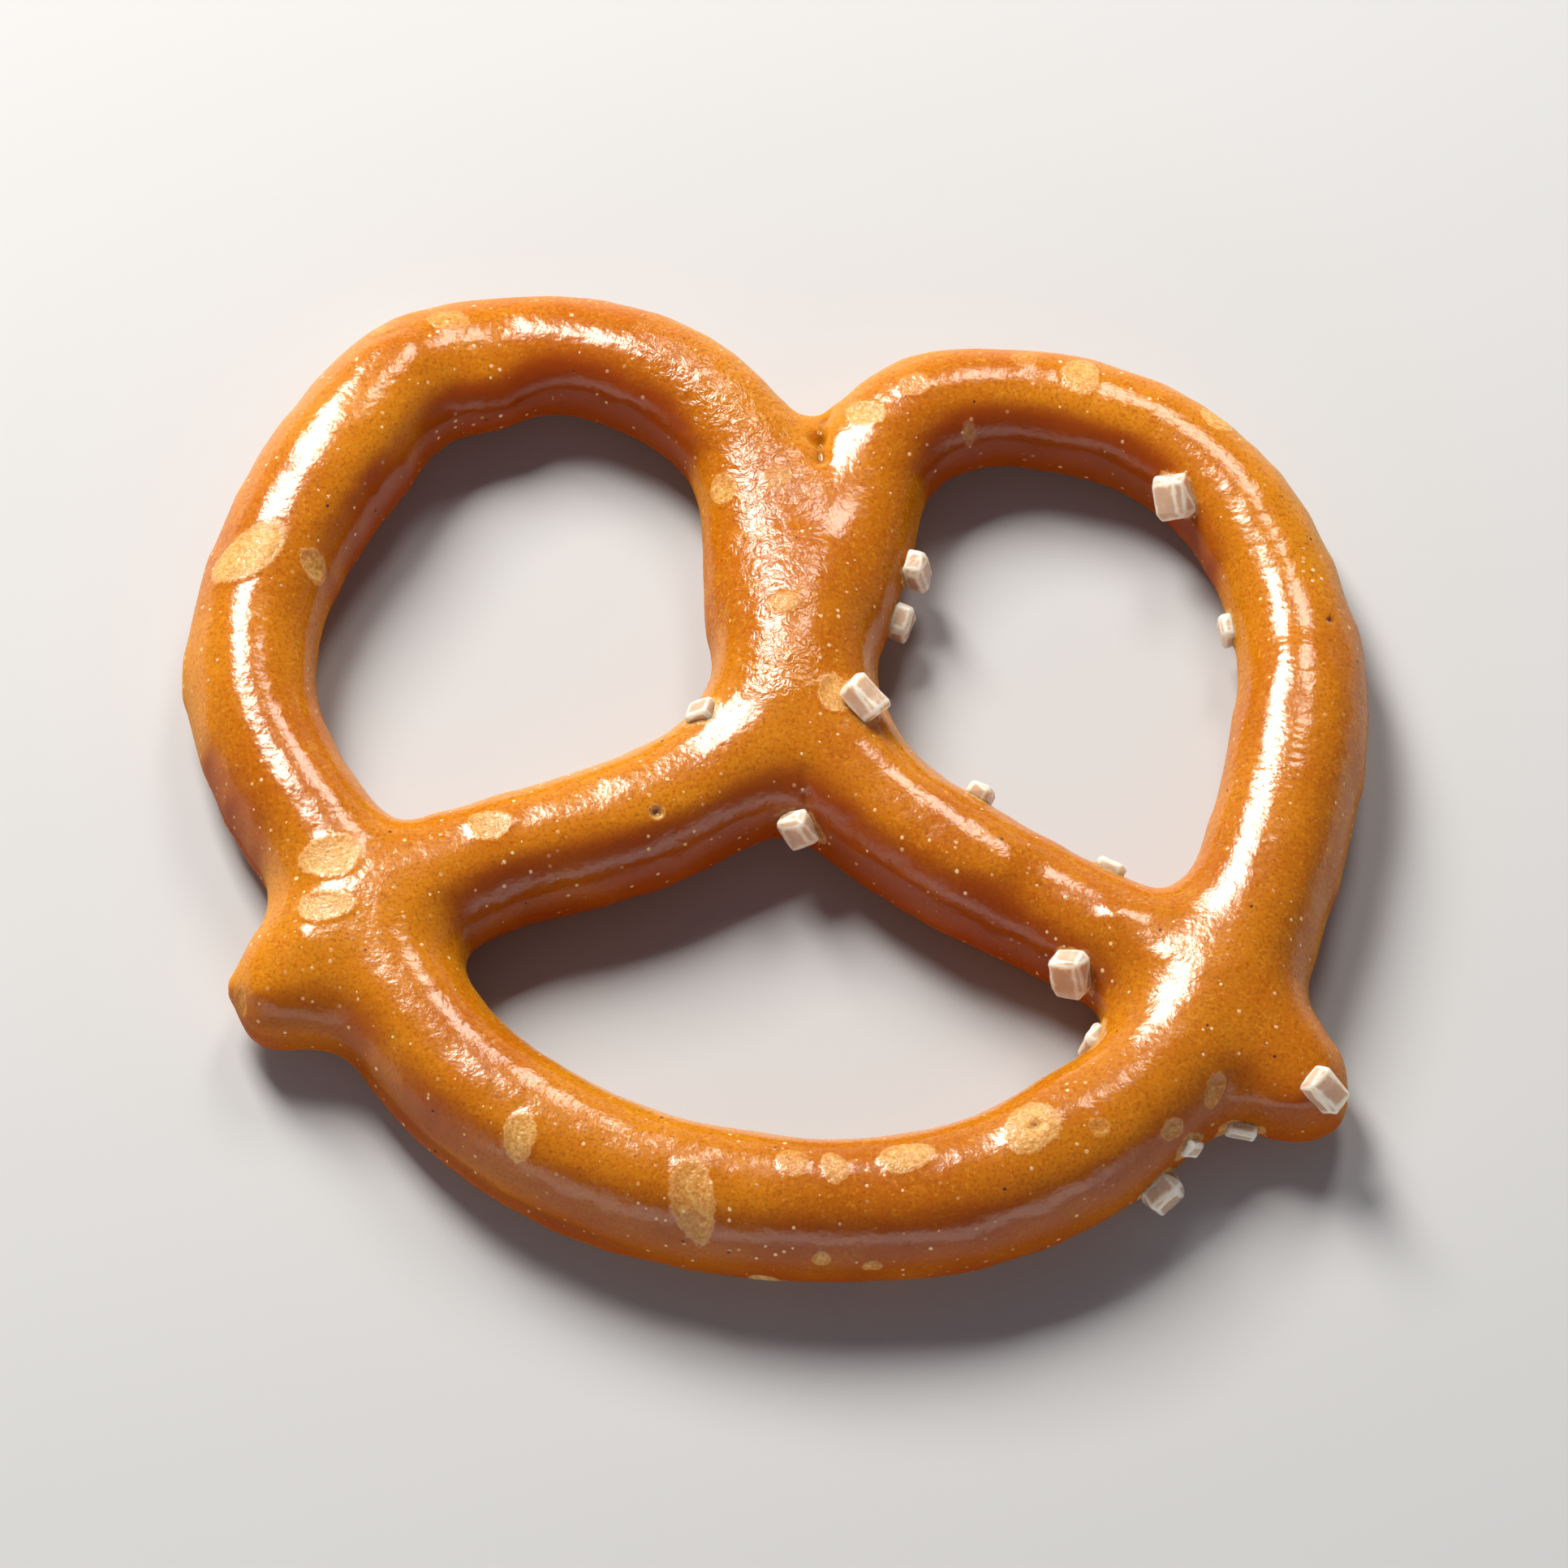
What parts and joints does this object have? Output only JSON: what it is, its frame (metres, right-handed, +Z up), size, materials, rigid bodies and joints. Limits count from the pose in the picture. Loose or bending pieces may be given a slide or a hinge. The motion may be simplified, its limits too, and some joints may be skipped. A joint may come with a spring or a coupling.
{
  "type": "hard pretzel twist",
  "caption": "Small hard pretzel twist with glossy brown crust, rounded lobes, a forked stem, short stub ends and coarse salt crystals",
  "frame": {"origin": "Centre of the footprint of the whole pretzel, on the flat underside it rests on.", "axes": "+X towards the right lobe, across the width; +Y from the bottom arc towards the cleft between the lobes; +Z up out of the domed, salted top."},
  "size_m": [0.045, 0.042, 0.0063],
  "materials": {
    "crust": "satin",
    "salt": "satin"
  },
  "bodies": {
    "root": {"pretzel": "crust", "salt_grain_01": "salt", "salt_grain_02": "salt", "salt_grain_03": "salt", "salt_grain_04": "salt", "salt_grain_05": "salt", "salt_grain_06": "salt", "salt_grain_07": "salt", "salt_grain_08": "salt", "salt_grain_09": "salt", "salt_grain_10": "salt", "salt_grain_11": "salt", "salt_grain_12": "salt", "salt_grain_13": "salt", "salt_grain_14": "salt", "salt_grain_15": "salt", "salt_grain_16": "salt", "salt_grain_17": "salt", "salt_grain_18": "salt", "salt_grain_19": "salt"}
  },
  "joints": []
}
